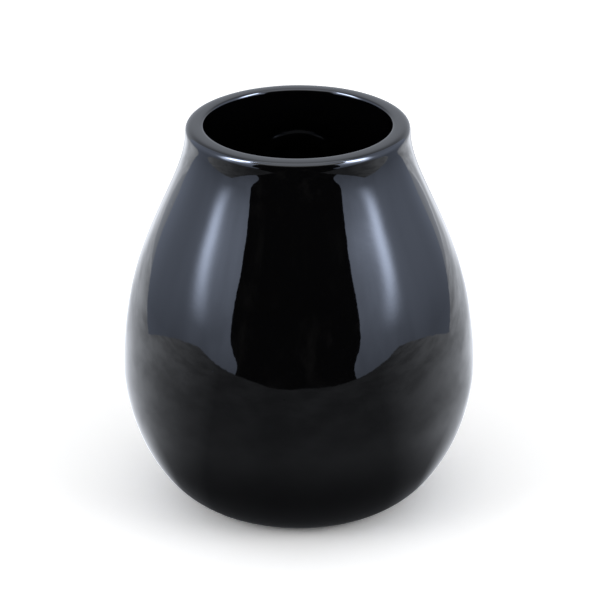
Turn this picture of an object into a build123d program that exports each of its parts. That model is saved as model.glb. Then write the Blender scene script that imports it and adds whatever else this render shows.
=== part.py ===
"""A round-bellied mate gourd: one handleless drinking cup cast in glazed ceramic.

The cup is one solid of revolution about +Z. It stands on a flat ring at z = 0, swells to
its widest a third of the way up, draws in to a short flared collar and ends in a thick,
softly crowned lip. All sizes are in millimetres.
"""

from build123d import *
from math import cos, radians, sin
import os

# Body, outside
height = 101.5  # table to the crown of the lip
belly_radius = 45.0
belly_height = 36.0  # the widest point, above the table
belly_fullness_above = 34.0  # how far the outside stays full above the widest point
belly_fullness_below = 14.9  # and below it
collar_radius = 28.3  # outside, just under the lip
collar_drop = 15.4  # how far the collar's upright line reaches down before the flare

# Lip
lip_width = 4.7  # outside of the collar to the bore of the mouth
lip_outer_drop = 2.0  # crown to where the lip's outside turns upright
lip_inner_drop = 1.0  # crown to where the bore turns upright
lip_crown_share = 0.35  # where the crown lies, from the bore towards the outside
lip_fullness = 0.72  # 0.55 makes each side of the lip elliptical, more makes it squarer

# Foot
foot_radius = 23.2  # outer edge of the flat ring that the cup stands on
foot_edge_radius = 4.0  # soft edge between the ring and the underside of the belly
underside_angle = 12.0  # how steeply the body leaves the foot, in degrees
underside_reach = 12.4  # how far the underside keeps to that angle
recess_radius = 18.5  # inner edge of the flat ring
recess_edge_radius = 0.5  # round on the ring's inner edge
recess_corner_radius = 1.0  # hollow round where the recess meets its ceiling

# Inside
wall = 4.2  # over the belly and the shoulder
floor_thickness = 4.4  # above the recess
floor_radius = 20.0  # of the floor's level part
floor_turn_reach = 12.0  # how gently the floor turns up into the wall
wall_stations = 12  # points that carry the wall's offset from belly to collar


def point(radius, level):
    """A point of the meridian, which lies in the XZ plane with the cup's axis on Z."""
    return Vector(radius, 0, level)


def outside_upper():
    """From the widest point up over the shoulder to the upright outside of the collar."""
    lip_start = height - lip_outer_drop
    return Bezier(
        point(belly_radius, belly_height),
        point(belly_radius, belly_height + belly_fullness_above),
        point(collar_radius, lip_start - collar_drop),
        point(collar_radius, lip_start),
    )


def foot_edge():
    """The soft edge that lifts the underside off the table, up to the underside's angle."""
    turned = radians(underside_angle)
    half = turned / 2
    start = point(foot_radius, 0)
    middle, end = (
        start + point(foot_edge_radius * sin(a), foot_edge_radius * (1 - cos(a)))
        for a in (half, turned)
    )
    return ThreePointArc(start, middle, end)


def outside_lower(start):
    """From the foot's edge out along the underside and up to the widest point."""
    angle = radians(underside_angle)
    return Bezier(
        start,
        start + point(underside_reach * cos(angle), underside_reach * sin(angle)),
        point(belly_radius, belly_height - belly_fullness_below),
        point(belly_radius, belly_height),
    )


def quarter_turn(upright_end, level_end):
    """A squarish quarter turn: upright at one end and level at the other."""
    across = level_end - upright_end
    return Bezier(
        upright_end,
        upright_end + point(0, across.Z * lip_fullness),
        level_end - point(across.X * lip_fullness, 0),
        level_end,
    )


def lip():
    """The two sides of the lip, which meet level at its crown."""
    bore_radius = collar_radius - lip_width
    crown = point(bore_radius + lip_width * lip_crown_share, height)
    outer = quarter_turn(point(collar_radius, height - lip_outer_drop), crown)
    inner = quarter_turn(point(bore_radius, height - lip_inner_drop), crown)
    return outer, inner


def inside_upper(outside, bore_top):
    """The wall's inner face from the widest point to the bore of the mouth.

    It keeps the wall's thickness off the outside, and thickens evenly to the lip's width.
    """
    stations = []
    for station in range(wall_stations):
        share = station / wall_stations
        thickness = wall + (lip_width - wall) * share
        along = outside % share
        inward = Vector(-along.Z, 0, along.X)
        stations.append(outside @ share + inward * thickness)
    up = Vector(0, 0, 1)
    return Spline(*stations, bore_top, tangents=[up, up])


def inside_lower(belly, floor_centre):
    """The bowl of the inside, from the widest point down to the level floor, and the floor."""
    floor_end = floor_centre + point(floor_radius, 0)
    turn = Bezier(
        belly,
        belly - point(0, belly_fullness_below),
        floor_end + point(floor_turn_reach, 0),
        floor_end,
    )
    return turn, Line(floor_end, floor_centre)


def recess():
    """The shallow hollow under the foot, from the axis out to the flat ring."""
    depth = recess_edge_radius + recess_corner_radius
    ceiling_end = point(recess_radius - depth, depth)
    wall_turn = point(recess_radius - recess_edge_radius, recess_edge_radius)
    ring_start = point(recess_radius, 0)
    ceiling = Line(point(0, depth), ceiling_end)
    corner = TangentArc(ceiling_end, wall_turn, tangent=Vector(1, 0, 0))
    edge = TangentArc(wall_turn, ring_start, tangent=Vector(0, 0, -1))
    return ceiling, corner, edge


def gourd():
    """The whole cup: its closed meridian turned once about the axis."""
    ceiling, corner, edge = recess()
    ring = Line(edge @ 1, point(foot_radius, 0))
    soft_edge = foot_edge()
    lower = outside_lower(soft_edge @ 1)
    upper = outside_upper()
    lip_outer, lip_inner = lip()
    inner_wall = inside_upper(upper, lip_inner @ 0)
    floor_centre = ceiling @ 0 + point(0, floor_thickness)
    bowl, floor = inside_lower(inner_wall @ 0, floor_centre)
    axis = Line(floor_centre, ceiling @ 0)
    meridian = [
        ceiling,
        corner,
        edge,
        ring,
        soft_edge,
        lower,
        upper,
        lip_outer,
        lip_inner,
        inner_wall,
        bowl,
        floor,
        axis,
    ]
    return revolve(make_face(meridian), Axis.Z)


os.makedirs("parts", exist_ok=True)
export_step(gourd(), "parts/gourd.step")
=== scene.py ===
"""A black glazed mate gourd on a plain white stage.

The cup is turned again from the CAD cup's meridian, finely enough for clean reflections, and
gets the small unevenness of a poured glaze. All lengths are in metres. Azimuths are in degrees
round the cup: 0 is the camera's side and +X is 90.
"""

import math

import bpy
import numpy as np
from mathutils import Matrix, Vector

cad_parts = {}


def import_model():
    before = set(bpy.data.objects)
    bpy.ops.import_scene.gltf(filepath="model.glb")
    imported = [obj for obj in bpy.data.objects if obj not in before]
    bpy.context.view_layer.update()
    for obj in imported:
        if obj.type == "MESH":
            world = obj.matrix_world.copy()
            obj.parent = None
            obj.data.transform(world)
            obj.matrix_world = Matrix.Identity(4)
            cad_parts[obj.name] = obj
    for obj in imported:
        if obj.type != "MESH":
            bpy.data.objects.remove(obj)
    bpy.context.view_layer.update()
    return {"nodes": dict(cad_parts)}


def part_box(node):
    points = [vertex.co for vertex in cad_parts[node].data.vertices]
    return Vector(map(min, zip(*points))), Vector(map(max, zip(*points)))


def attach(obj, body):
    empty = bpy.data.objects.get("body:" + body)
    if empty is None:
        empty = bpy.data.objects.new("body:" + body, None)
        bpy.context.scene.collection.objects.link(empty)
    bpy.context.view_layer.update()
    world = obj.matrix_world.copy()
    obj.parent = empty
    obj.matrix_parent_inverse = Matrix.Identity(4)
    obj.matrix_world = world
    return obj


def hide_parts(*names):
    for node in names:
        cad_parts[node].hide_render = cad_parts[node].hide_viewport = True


MM = 0.001

# The turned surface
SEAM_TOLERANCE = 0.001 * MM  # how near the XZ plane a CAD point on the meridian lies
TURNS = 240  # faces round the cup
STATION_GAP = 1.15 * MM  # along the meridian where it is nearly straight
STATION_TURN = math.radians(5)  # at most this much turn between two stations
FINE_GAP = 0.08 * MM  # of the smooth curve that the stations are picked from
SMOOTHING_PASSES = 12

# The glaze's own unevenness
SEED = 7
WAVES = 9
WAVE_HEIGHT = 0.035 * MM
WAVE_LENGTHS = (9 * MM, 34 * MM)
RELIEF_FADE = 2.0 * MM  # the relief dies out this near the table, so the cup stands flat

# Colours, as linear RGBA
BLACK = (0.0009, 0.0009, 0.0011, 1)
BLACK_CLOUD = (0.0016, 0.0016, 0.0019, 1)
SPECK = (0.008, 0.008, 0.009, 1)
CLAY_DARK = (0.36, 0.30, 0.23, 1)
CLAY_PALE = (0.62, 0.56, 0.47, 1)
IRON = (0.12, 0.07, 0.04, 1)

# The glaze. A cut is where a noise turns from nothing to full.
GLAZE_IOR = 1.5
CLOUD_SIZE = 26 * MM
SPECK_SIZE = 0.45 * MM
SPECK_CUT = (0.70, 0.78)
SPECK_SHARE = 0.25
SMEAR_SIZE = 17 * MM
SMEAR_CUT = (0.5, 0.8)
SMEAR_ROUGHNESS = (0.028, 0.06)
FINE_SIZE = 1.4 * MM
FINE_ROUGHNESS = 0.012
PEEL_SIZE = 3.2 * MM
PEEL_HEIGHT = 0.010  # in millimetres, as are the next two
PIT_DEPTH = 0.03
CLAY_HEIGHT = 0.25
PIT_SPACING = 7 * MM
PIT_REACH = 0.035  # of the spacing

# The bare foot ring
GLAZE_EDGE = (-0.02 * MM, 0.06 * MM)  # the levels where the clay ends and the glaze is full
EDGE_WANDER = 0.3 * MM
EDGE_WANDER_SIZE = 5 * MM
GRAIN_SIZE = 0.6 * MM
IRON_SIZE = 0.35 * MM
IRON_CUT = (0.66, 0.74)
CLAY_ROUGHNESS = 0.82

# Camera
CAMERA_DISTANCE = 0.9
CAMERA_ELEVATION = math.radians(24.05)
CAMERA_TARGET_SHARE = 0.5217  # of the cup's height
CAMERA_LENS = 210.9
CAMERA_ROLL = math.radians(-0.25)
CAMERA_SHIFT = (0.0024, -0.0013)  # the cup stands slightly off the frame's middle
CAMERA_CLIP = 0.01
SENSOR = 36.0

# Light and floor
LIGHT_LEVEL = 0.65  # the world's light on surfaces
LAMP_ASIDE = 0.9
LAMP_AHEAD = 0.5
LAMP_HEIGHT = 0.5
LAMP_SIZE = 0.6
LAMP_POWER = 3.4
FLOOR_SIZE = 6.0
FLOOR_TONE = 0.8
FLOOR_SHOWN = 1.5  # the floor's tone to the camera, so that it runs out to white

# Cards that the glaze mirrors
SKY_BLUE = (0.83, 0.95, 1.23)
PALE_BLUE = (0.92, 0.98, 1.10)
TABLE_GREY = (0.95, 0.99, 1.07)
WARM_GREY = (1.0, 0.96, 0.9)
CARD_FOOT = -0.3
CARD_TOP = 1.1
CARD_COLUMNS = 48
CARD_ROWS = 70  # of a card whose edge bends with the level

# Places of the cards. Each softbox stands nearer the cup towards its far edge.
SOFTBOXES = (  # name, side, and its streak's azimuth and strength
    ("softbox_left", -1, 75.0, 10.0),
    ("softbox_right", 1, 69.0, 9.5),
)
SOFTBOX_NEAR = 30.0  # hidden behind the flag's edge
SOFTBOX_FAR = 108.0  # at the table, and further round above it
SOFTBOX_FAR_LEAN = 20.0
SOFTBOX_LEAN_LEVEL = 0.06  # the lean is complete from here up
SOFTBOX_RADIUS = 0.24
SOFTBOX_EVEN = 110.0  # it keeps its radius from here back
SOFTBOX_SPREAD = 0.4  # how much further off it stands at the reach, ahead of that
SOFTBOX_SPREAD_REACH = 37.0
SOFTBOX_SPREAD_POWER = 1.5
BACKDROP_NEAR = 112.0
BACKDROP_RADIUS = 0.55
TABLE_FRONT = 0.30  # how far the mirrored table reaches towards the camera
TABLE_SIDE = 1.0
TABLE_LEVEL = 0.2 * MM
TOP_HALF = 0.55
TOP_LEVEL = 1.2
TOP_STRENGTH = 2.4
FLAG_RADIUS = 0.62
FLAG_TOP = 0.9
FLAG_AZIMUTH = -2.0
FLAG_HALF_WIDTH = 43.0
FLAG_PINCH = 7.0  # where the softboxes' frames reach in front of the dark
FLAG_PINCH_LEVEL = -0.012
FLAG_PINCH_HEIGHT = 0.06

# Strengths of the cards, where 1 is white. Four numbers are a span: where it starts and ends,
# in degrees or metres, and the strength at its start and at its end.
EYE_LEVEL = 0.06  # the level that elevations are measured from
SOFTBOX_BY_AZIMUTH = (60.0, 118.0, 1.12, 0.68)
SOFTBOX_BY_ELEVATION = (-8.0, 22.0, 0.86, 2.0)
SOFTBOX_CLOUD_SIZE = 0.3
SOFTBOX_CLOUD = (0.3, 0.7, 0.92, 1.08)
STREAK_LEAN_LEVELS = (0.05, 0.30)
STREAK_LEAN = (-4, 3)  # degrees at those two levels
STREAK_FADE_IN = (0.06, 0.32)  # levels
STREAK_GAIN_LEVELS = (0.3, 0.55)
STREAK_GAIN = 4
STREAK_WIDTH = (0.3, 0.6, 7.0, 13.0)  # levels, then degrees wide
GLOW_OFFSET = -9
GLOW_WIDTH = 14.0
GLOW_STRENGTH = 0.6
BACKDROP_MIDDLE = (145.0, 175.0)  # azimuths
BACKDROP_BESIDE = (0.2, 0.5, 1.0, 0.65)
BACKDROP_BEHIND = (0.2, 0.6, 0.8, 1.2)
FLAG_BY_LEVEL = (0.5, 0.9, 0.01, 0.2)
FLAG_CLOUD_SIZE = 0.16
FLAG_CLOUD = (0.5, 0.75, 0.0, 0.05)
TABLE_BY_AZIMUTH = (48.0, 112.0, 0.20, 1.15)
TABLE_FAR_BACK = (112.0, 150.0, 0.0, 0.35)
TABLE_BEHIND = (155.0, 172.0)  # azimuths of the dimmer strip straight behind
TABLE_BEHIND_REACH = (0.10, 0.25)  # distances from the axis
# painted shadow of the cup on the mirrored table: darker near its foot, over these distances from
# the axis
TABLE_FOOT_SHADOW = (0.04, 0.075, 0.25, 1.0)
TABLE_OPEN = (60.0, 100.0)  # azimuths over which the shade near the foot dies out
TABLE_CLOUD_SIZE = 0.10
TABLE_CLOUD = (0.32, 0.68, 0.78, 1.25)


def seam_meridian(node):
    """The CAD cup's meridian in the XZ plane, as (radius, level) rows from the centre of the
    recess below, out and over the lip, down to the centre of the floor inside."""
    mesh = node.data
    cells = {}
    on_seam = {}
    for vertex in mesh.vertices:
        x, y, z = node.matrix_world @ vertex.co
        if abs(y) < SEAM_TOLERANCE and x > -SEAM_TOLERANCE:
            key = (round(x / SEAM_TOLERANCE), round(z / SEAM_TOLERANCE))
            on_seam[vertex.index] = key
            cells[key] = (max(x, 0.0), z)
    links = {key: set() for key in cells}
    for edge in mesh.edges:
        a, b = (on_seam.get(i) for i in edge.vertices)
        if a is not None and b is not None and a != b:
            links[a].add(b)
            links[b].add(a)
    lowest, highest = sorted((k for k in cells if len(links[k]) == 1), key=lambda k: k[1])
    path = [lowest]
    while path[-1] != highest:
        path.append(next(k for k in links[path[-1]] if k not in path[-2:]))
    rows = [cells[k] for k in path]
    return np.array([(0.0, rows[0][1]), *rows, (0.0, rows[-1][1])])


def smooth_curve(points):
    """A fine, smooth curve through the meridian's points, as centripetal Catmull-Rom."""
    mirrored = (-1, 1)
    chain = np.vstack([points[1] * mirrored, points, points[-2] * mirrored])
    curve = []
    for p0, p1, p2, p3 in zip(chain, chain[1:], chain[2:], chain[3:]):
        gaps = [max(math.dist(a, b), 1e-9) ** 0.5 for a, b in ((p0, p1), (p1, p2), (p2, p3))]
        t1 = gaps[0]
        t2 = t1 + gaps[1]
        t3 = t2 + gaps[2]
        steps = max(2, math.ceil(math.dist(p1, p2) / FINE_GAP))
        t = np.linspace(t1, t2, steps, endpoint=False)[:, None]
        a1 = (t1 - t) / t1 * p0 + t / t1 * p1
        a2 = (t2 - t) / (t2 - t1) * p1 + (t - t1) / (t2 - t1) * p2
        a3 = (t3 - t) / (t3 - t2) * p2 + (t - t2) / (t3 - t2) * p3
        b1 = (t2 - t) / t2 * a1 + t / t2 * a2
        b2 = (t3 - t) / (t3 - t1) * a2 + (t - t1) / (t3 - t1) * a3
        curve.append((t2 - t) / (t2 - t1) * b1 + (t - t1) / (t2 - t1) * b2)
    curve.append(points[-1:])
    return np.vstack(curve)


def spread_stations(curve):
    """Evens out the curve's corners, then picks stations by length and by turn."""
    for _ in range(SMOOTHING_PASSES):
        curve[1:-1] += ((curve[:-2] + curve[2:]) / 2 - curve[1:-1]) * 0.5
    steps = np.diff(curve, axis=0)
    lengths = np.hypot(steps[:, 0], steps[:, 1])
    headings = np.unwrap(np.arctan2(steps[:, 1], steps[:, 0]))
    turns = np.abs(np.gradient(headings))
    due = np.concatenate([[0], np.cumsum(lengths / STATION_GAP + turns / STATION_TURN)])
    stations = np.linspace(0, due[-1], math.ceil(due[-1]) + 1)
    radius = np.interp(stations, due, curve[:, 0])
    level = np.interp(stations, due, curve[:, 1])
    return np.column_stack([radius, level])


def relief(points):
    """How far the glaze stands off its even surface at each point: a few slow waves."""
    random = np.random.default_rng(SEED)
    height = np.zeros(len(points))
    for _ in range(WAVES):
        direction = random.normal(size=3)
        direction /= np.linalg.norm(direction)
        length = random.uniform(*WAVE_LENGTHS)
        phase = random.uniform(0, 2 * math.pi)
        height += np.sin(points @ direction * (2 * math.pi / length) + phase) * length
    height *= WAVE_HEIGHT / (WAVE_LENGTHS[1] * math.sqrt(WAVES))
    return height * np.clip(points[:, 2] / RELIEF_FADE, 0, 1)


def lathe(name, profile):
    """Turns the profile about Z. Its two ends lie on the axis and become single points."""
    inner = profile[1:-1]
    angles = np.arange(TURNS) * (2 * math.pi / TURNS)
    ring = np.column_stack([np.cos(angles), np.sin(angles)])
    tangent = np.gradient(profile, axis=0)[1:-1]
    tangent /= np.linalg.norm(tangent, axis=1)[:, None]
    around = np.repeat(inner, TURNS, axis=0)
    turn = np.tile(ring, (len(inner), 1))
    points = np.column_stack([around[:, :1] * turn, around[:, 1]])
    outward = np.repeat(np.column_stack([tangent[:, 1], -tangent[:, 0]]), TURNS, axis=0)
    normals = np.column_stack([outward[:, :1] * turn, outward[:, 1]])
    points += normals * relief(points)[:, None]
    caps = [[0, 0, profile[0][1]], [0, 0, profile[-1][1]]]
    vertices = np.vstack([points, caps])
    foot, floor = len(points), len(points) + 1
    faces = []
    for row in range(len(inner) - 1):
        for i in range(TURNS):
            a = row * TURNS + i
            b = row * TURNS + (i + 1) % TURNS
            faces.append((a, b, b + TURNS, a + TURNS))
    last = (len(inner) - 1) * TURNS
    for i in range(TURNS):
        j = (i + 1) % TURNS
        faces.append((foot, j, i))
        faces.append((last + i, last + j, floor))
    mesh = bpy.data.meshes.new(name)
    mesh.from_pydata(vertices.tolist(), [], faces)
    mesh.shade_smooth()
    mesh.update()
    piece = bpy.data.objects.new(name, mesh)
    bpy.context.scene.collection.objects.link(piece)
    return piece


class Graph:
    """Short calls for building one node tree."""

    def __init__(self, tree):
        self.tree = tree
        tree.nodes.clear()

    def add(self, kind, settings=None, **inputs):
        node = self.tree.nodes.new(kind)
        for key, value in (settings or {}).items():
            setattr(node, key, value)
        for key, value in inputs.items():
            self.set(node, key.replace("_", " "), value)
        return node

    def set(self, node, key, value):
        """Links the value to the input if it is a socket. A key of digits is an input's index."""
        socket = node.inputs[int(key)] if key.isdigit() else node.inputs[key]
        if isinstance(value, bpy.types.NodeSocket):
            self.tree.links.new(value, socket)
        else:
            socket.default_value = value

    def math(self, operation, a, b=0.0):
        node = self.add("ShaderNodeMath", {"operation": operation})
        self.set(node, "0", a)
        self.set(node, "1", b)
        return node.outputs[0]

    def noise(self, where, size, detail=2.0, roughness=0.5):
        """A noise from 0 to 1 whose largest features are about this size."""
        node = self.add("ShaderNodeTexNoise", Vector=where, Scale=1 / size, Detail=detail,
                        Roughness=roughness)
        return node.outputs["Fac"]

    def span(self, value, low, high, to_low=0.0, to_high=1.0, smooth=True):
        """Follows the value from to_low at low to to_high at high, and stays level beyond."""
        kind = "SMOOTHSTEP" if smooth else "LINEAR"
        node = self.add("ShaderNodeMapRange", {"interpolation_type": kind})
        for key, number in zip(
            ("Value", "From Min", "From Max", "To Min", "To Max"),
            (value, low, high, to_low, to_high),
        ):
            self.set(node, key, number)
        return node.outputs["Result"]

    def mix(self, factor, a, b):
        """Colour a where the factor is 0, b where it is 1."""
        node = self.add("ShaderNodeMix", {"data_type": "RGBA"})
        for key, value in zip((0, 6, 7), (factor, a, b)):
            self.set(node, str(key), value)
        return node.outputs[2]


def clay_mask(g, where):
    """1 on the bare clay at the table and 0 on the glaze, with a wandering edge between."""
    level = g.add("ShaderNodeSeparateXYZ", Vector=where).outputs["Z"]
    wander = g.math("MULTIPLY", g.noise(where, EDGE_WANDER_SIZE), EDGE_WANDER)
    return g.span(g.math("SUBTRACT", level, wander), *GLAZE_EDGE, 1.0, 0.0)


def glaze_colour(g, where):
    """Black with faint clouds and a few paler specks."""
    black = g.mix(g.noise(where, CLOUD_SIZE, 3.0), BLACK, BLACK_CLOUD)
    specks = g.span(g.noise(where, SPECK_SIZE, 1.0), *SPECK_CUT)
    return g.mix(g.math("MULTIPLY", specks, SPECK_SHARE), black, SPECK)


def clay_colour(g, where, grain):
    """Pale grainy clay with iron specks."""
    clay = g.mix(grain, CLAY_DARK, CLAY_PALE)
    specks = g.span(g.noise(where, IRON_SIZE, 1.0), *IRON_CUT)
    return g.mix(specks, clay, IRON)


def glaze_roughness(g, where):
    """Near-mirror gloss with slightly softer smears."""
    smears = g.noise(where, SMEAR_SIZE, 5.0, 0.6)
    smears = g.span(smears, *SMEAR_CUT, *SMEAR_ROUGHNESS)
    fine = g.math("MULTIPLY", g.noise(where, FINE_SIZE, 3.0), FINE_ROUGHNESS)
    return g.math("ADD", smears, fine)


def fine_height(g, where, grain, bare):
    """The height of orange peel, pinholes and the clay's grain, in millimetres."""
    peel = g.math("MULTIPLY", g.noise(where, PEEL_SIZE), PEEL_HEIGHT)
    spots = g.add("ShaderNodeTexVoronoi", Vector=where, Scale=1 / PIT_SPACING)
    pits = g.span(spots.outputs["Distance"], 0.0, PIT_REACH, -1.0, 0.0)
    glaze = g.math("ADD", peel, g.math("MULTIPLY", pits, PIT_DEPTH))
    clay = g.math("MULTIPLY", g.math("MULTIPLY", grain, bare), CLAY_HEIGHT)
    return g.math("ADD", glaze, clay)


def new_graph(data):
    """A node graph for a material or a world, cleared of what it starts with."""
    data.use_nodes = True
    return Graph(data.node_tree)


def glaze_material():
    """Black high-gloss glaze with faint orange peel, pinholes and a bare clay foot ring."""
    material = bpy.data.materials.new("black_glaze")
    g = new_graph(material)
    where = g.add("ShaderNodeTexCoord").outputs["Object"]
    bare = clay_mask(g, where)
    grain = g.noise(where, GRAIN_SIZE, 4.0, 0.7)
    colour = g.mix(bare, glaze_colour(g, where), clay_colour(g, where, grain))
    roughness = g.span(bare, 0, 1, glaze_roughness(g, where), CLAY_ROUGHNESS)
    height = fine_height(g, where, grain, bare)
    bump = g.add("ShaderNodeBump", Strength=1.0, Distance=MM, Height=height).outputs["Normal"]
    shader = g.add("ShaderNodeBsdfPrincipled", Base_Color=colour, Roughness=roughness, Normal=bump)
    shader.inputs["IOR"].default_value = GLAZE_IOR
    g.add("ShaderNodeOutputMaterial", Surface=shader.outputs["BSDF"])
    return material


def make_cup(frame):
    """The visible cup, which stands for the CAD cup."""
    node = frame["nodes"]["gourd"]
    profile = spread_stations(smooth_curve(seam_meridian(node)))
    low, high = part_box("gourd")
    profile[:, 1] = np.clip(profile[:, 1], low[2], high[2])
    profile[[0, -1], 0] = 0
    cup = lathe("gourd_glazed", profile)
    cup.data.materials.append(glaze_material())
    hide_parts("gourd")
    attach(cup, "root")


def only_reflected(card):
    """The card shows in reflections alone: it neither lights, shades nor hides anything."""
    card.visible_camera = False
    card.visible_diffuse = False
    card.visible_shadow = False
    card.visible_transmission = False
    card.visible_volume_scatter = False


def new_stage_mesh(name, vertices, faces):
    mesh = bpy.data.meshes.new(name)
    mesh.from_pydata(vertices, [], faces)
    mesh.update()
    thing = bpy.data.objects.new(name, mesh)
    bpy.context.scene.collection.objects.link(thing)
    return thing


def bent_card(name, outline, top=CARD_TOP, rows=CARD_ROWS):
    """An upright card round the cup. outline(share along it, level) gives azimuth and radius."""
    columns = CARD_COLUMNS
    vertices = []
    for row in range(rows + 1):
        level = CARD_FOOT + (top - CARD_FOOT) * row / rows
        for column in range(columns + 1):
            azimuth, radius = outline(column / columns, level)
            turn = math.radians(azimuth)
            vertices.append((radius * math.sin(turn), -radius * math.cos(turn), level))
    faces = []
    for row in range(rows):
        for column in range(columns):
            a = row * (columns + 1) + column
            faces.append((a, a + 1, a + columns + 2, a + columns + 1))
    return new_stage_mesh(name, vertices, faces)


def card_place(g):
    """A card's own point, its azimuth in degrees, its distance from the axis and its level."""
    where = g.add("ShaderNodeTexCoord").outputs["Object"]
    place = g.add("ShaderNodeSeparateXYZ", Vector=where)
    x, y, z = (place.outputs[k] for k in "XYZ")
    azimuth = g.math("DEGREES", g.math("ARCTAN2", x, g.math("MULTIPLY", y, -1.0)))
    flat = g.math("SQRT", g.math("ADD", g.math("MULTIPLY", x, x), g.math("MULTIPLY", y, y)))
    return where, azimuth, flat, z


def bell(g, value, centre, width):
    """1 at the centre, falling off smoothly on both sides."""
    off = g.math("DIVIDE", g.math("SUBTRACT", value, centre), width)
    return g.math("EXPONENT", g.math("MULTIPLY", g.math("MULTIPLY", off, off), -1.0))


def light_up(card, colour, make_strength):
    """Lets the card glow in reflections, at the strength that make_strength(graph) gives."""
    material = bpy.data.materials.new(card.name)
    g = new_graph(material)
    light = g.add("ShaderNodeEmission", Color=(*colour, 1), Strength=make_strength(g))
    g.add("ShaderNodeOutputMaterial", Surface=light.outputs["Emission"])
    card.data.materials.append(material)
    only_reflected(card)


def softbox(name, side, streak_azimuth, streak_strength):
    """A tall side light as the glaze shows it: dimmer to the back, with a hot streak."""

    def outline(along, level):
        lean = SOFTBOX_FAR_LEAN * min(max(level / SOFTBOX_LEAN_LEVEL, 0), 1)
        azimuth = SOFTBOX_NEAR + (SOFTBOX_FAR + lean - SOFTBOX_NEAR) * along
        ahead = max(SOFTBOX_EVEN - azimuth, 0) / SOFTBOX_SPREAD_REACH
        return side * azimuth, SOFTBOX_RADIUS + SOFTBOX_SPREAD * ahead**SOFTBOX_SPREAD_POWER

    def make_strength(g):
        where, azimuth, flat, level = card_place(g)
        azimuth = g.math("MULTIPLY", azimuth, side)
        rise = g.math("ARCTAN2", g.math("SUBTRACT", level, EYE_LEVEL), flat)
        backward = g.span(azimuth, *SOFTBOX_BY_AZIMUTH)
        upward = g.span(g.math("DEGREES", rise), *SOFTBOX_BY_ELEVATION, smooth=False)
        cloud = g.span(g.noise(where, SOFTBOX_CLOUD_SIZE), *SOFTBOX_CLOUD)
        pale = g.math("MULTIPLY", g.math("MULTIPLY", backward, upward), cloud)

        lean = [streak_azimuth + degrees for degrees in STREAK_LEAN]
        middle = g.span(level, *STREAK_LEAN_LEVELS, *lean)
        gain = (streak_strength, STREAK_GAIN * streak_strength)
        gain = g.span(level, *STREAK_GAIN_LEVELS, *gain)
        hot = g.math("MULTIPLY", bell(g, azimuth, middle, g.span(level, *STREAK_WIDTH)), gain)
        glow = bell(g, azimuth, streak_azimuth + GLOW_OFFSET, GLOW_WIDTH)
        glow = g.math("MULTIPLY", glow, GLOW_STRENGTH)
        streak = g.math("MULTIPLY", g.math("ADD", hot, glow), g.span(level, *STREAK_FADE_IN))
        return g.math("ADD", pale, streak)

    light_up(bent_card(name, outline), SKY_BLUE, make_strength)


def backdrop_card():
    """The pale backdrop behind the cup, which lights up its outline."""

    def outline(along, level):
        return BACKDROP_NEAR + (360 - 2 * BACKDROP_NEAR) * along, BACKDROP_RADIUS

    def make_strength(g):
        _, azimuth, _, level = card_place(g)
        beside = g.span(level, *BACKDROP_BESIDE)
        behind = g.span(level, *BACKDROP_BEHIND)
        return g.span(g.math("ABSOLUTE", azimuth), *BACKDROP_MIDDLE, beside, behind)

    light_up(bent_card("backdrop_card", outline, rows=1), PALE_BLUE, make_strength)


def dark_flag():
    """The unlit room behind the camera, as a black card between the two softboxes."""

    def outline(along, level):
        off_pinch = (level - FLAG_PINCH_LEVEL) / FLAG_PINCH_HEIGHT
        half = FLAG_HALF_WIDTH - FLAG_PINCH * math.exp(-(off_pinch**2))
        return FLAG_AZIMUTH - half + 2 * half * along, FLAG_RADIUS

    def make_strength(g):
        where, _, _, level = card_place(g)
        cloud = g.span(g.noise(where, FLAG_CLOUD_SIZE, 4.0, 0.6), *FLAG_CLOUD)
        return g.math("ADD", g.span(level, *FLAG_BY_LEVEL), cloud)

    light_up(bent_card("dark_flag", outline, top=FLAG_TOP), WARM_GREY, make_strength)


def level_card(name, front, back, side, level):
    """A level rectangle from front to back along Y, and as far to either side."""
    corners = [(-side, front), (side, front), (side, back), (-side, back)]
    return new_stage_mesh(name, [(x, y, level) for x, y in corners], [(0, 1, 2, 3)])


def table_card():
    """The dim table top as the cup's lower half mirrors it, brighter to the back, with a painted
    shadow of the cup near its foot.
    """

    def make_strength(g):
        where, azimuth, flat, _ = card_place(g)
        aside = g.math("ABSOLUTE", azimuth)
        to_back = g.span(aside, *TABLE_BY_AZIMUTH, smooth=False)
        far_back = g.span(aside, *TABLE_FAR_BACK)
        behind = g.span(aside, *TABLE_BEHIND)
        behind = g.math("MULTIPLY", behind, g.span(flat, *TABLE_BEHIND_REACH))
        far_back = g.math("SUBTRACT", far_back, behind)
        # painted shadow of the cup on the table close round its foot, dying out towards the sides
        foot_shadow = g.math("MAXIMUM", g.span(flat, *TABLE_FOOT_SHADOW), g.span(aside, *TABLE_OPEN))
        cloud = g.span(g.noise(where, TABLE_CLOUD_SIZE, 5.0, 0.6), *TABLE_CLOUD)
        tone = g.math("MULTIPLY", g.math("ADD", to_back, far_back), foot_shadow)
        return g.math("MULTIPLY", tone, cloud)

    card = level_card("table_card", -TABLE_FRONT, TABLE_SIDE, TABLE_SIDE, TABLE_LEVEL)
    light_up(card, TABLE_GREY, make_strength)


def top_card():
    """The overhead light, which draws the bright line round the lip."""
    card = level_card("top_card", -TOP_HALF, TOP_HALF, TOP_HALF, TOP_LEVEL)
    light_up(card, PALE_BLUE, lambda g: TOP_STRENGTH)


def grey(tone):
    return (tone, tone, tone, 1)


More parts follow.
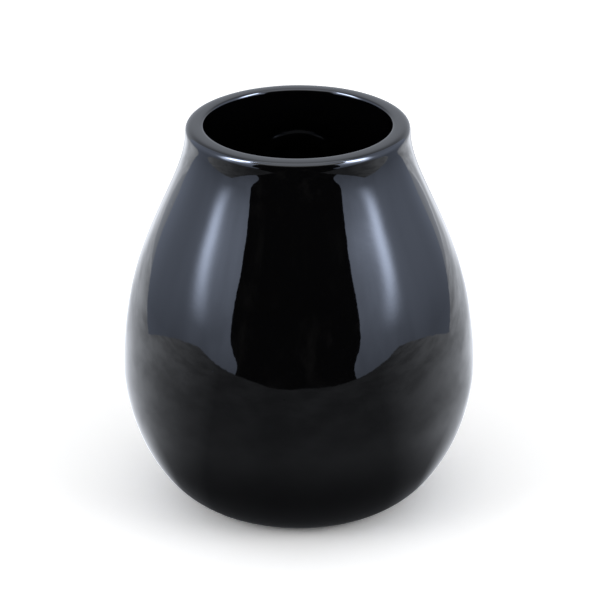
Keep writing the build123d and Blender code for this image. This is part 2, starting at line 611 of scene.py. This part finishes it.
def floor():
    """A pale floor that keeps the cup's shadow and runs out into the white background."""
    half = FLOOR_SIZE / 2
    thing = level_card("floor", -half, half, half, 0)
    thing.visible_glossy = False
    thing.visible_transmission = False
    material = bpy.data.materials.new("floor_white")
    g = new_graph(material)
    seen = g.add("ShaderNodeLightPath").outputs["Is Camera Ray"]
    matte = g.add("ShaderNodeBsdfDiffuse", Color=g.mix(seen, grey(FLOOR_TONE), grey(FLOOR_SHOWN)))
    g.add("ShaderNodeOutputMaterial", Surface=matte.outputs["BSDF"])
    thing.data.materials.append(material)


def world():
    """White to the eye and in reflections, and a plain soft light on everything."""
    studio = bpy.data.worlds.new("studio")
    bpy.context.scene.world = studio
    g = new_graph(studio)
    path = g.add("ShaderNodeLightPath")
    shown = g.math("MAXIMUM", path.outputs["Is Camera Ray"], path.outputs["Is Glossy Ray"])
    shown = g.math("MAXIMUM", shown, path.outputs["Is Transmission Ray"])
    strength = g.span(shown, 0, 1, LIGHT_LEVEL, 1.0, smooth=False)
    back = g.add("ShaderNodeBackground", Color=grey(1), Strength=strength)
    g.add("ShaderNodeOutputWorld", Surface=back.outputs["Background"])


def lamp(name, side):
    """A soft lamp on one side in front, aimed at the cup's foot."""
    data = bpy.data.lights.new(name, "AREA")
    data.size = LAMP_SIZE
    data.energy = LAMP_POWER
    thing = bpy.data.objects.new(name, data)
    bpy.context.scene.collection.objects.link(thing)
    thing.location = (side * LAMP_ASIDE, -LAMP_AHEAD, LAMP_HEIGHT)
    aim = -thing.location
    thing.rotation_euler = aim.to_track_quat("-Z", "Y").to_euler()
    thing.visible_glossy = False
    thing.visible_camera = False


def camera():
    low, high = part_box("gourd")
    target = (high[2] - low[2]) * CAMERA_TARGET_SHARE
    data = bpy.data.cameras.new("camera")
    data.sensor_width = SENSOR
    data.lens = CAMERA_LENS
    data.clip_start = CAMERA_CLIP
    data.shift_x, data.shift_y = CAMERA_SHIFT
    thing = bpy.data.objects.new("camera", data)
    bpy.context.scene.collection.objects.link(thing)
    back = CAMERA_DISTANCE * math.cos(CAMERA_ELEVATION)
    up = CAMERA_DISTANCE * math.sin(CAMERA_ELEVATION)
    thing.location = (0, -back, target + up)
    thing.rotation_euler = (math.pi / 2 - CAMERA_ELEVATION, 0, 0)
    thing.rotation_euler.rotate_axis("Z", CAMERA_ROLL)
    bpy.context.scene.camera = thing


def main():
    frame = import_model()
    make_cup(frame)
    floor()
    world()
    for name, side, streak_azimuth, streak_strength in SOFTBOXES:
        softbox(name, side, streak_azimuth, streak_strength)
    backdrop_card()
    dark_flag()
    table_card()
    top_card()
    lamp("key_left", -1)
    lamp("key_right", 1)
    camera()
    bpy.context.scene.view_settings.view_transform = "Standard"


main()
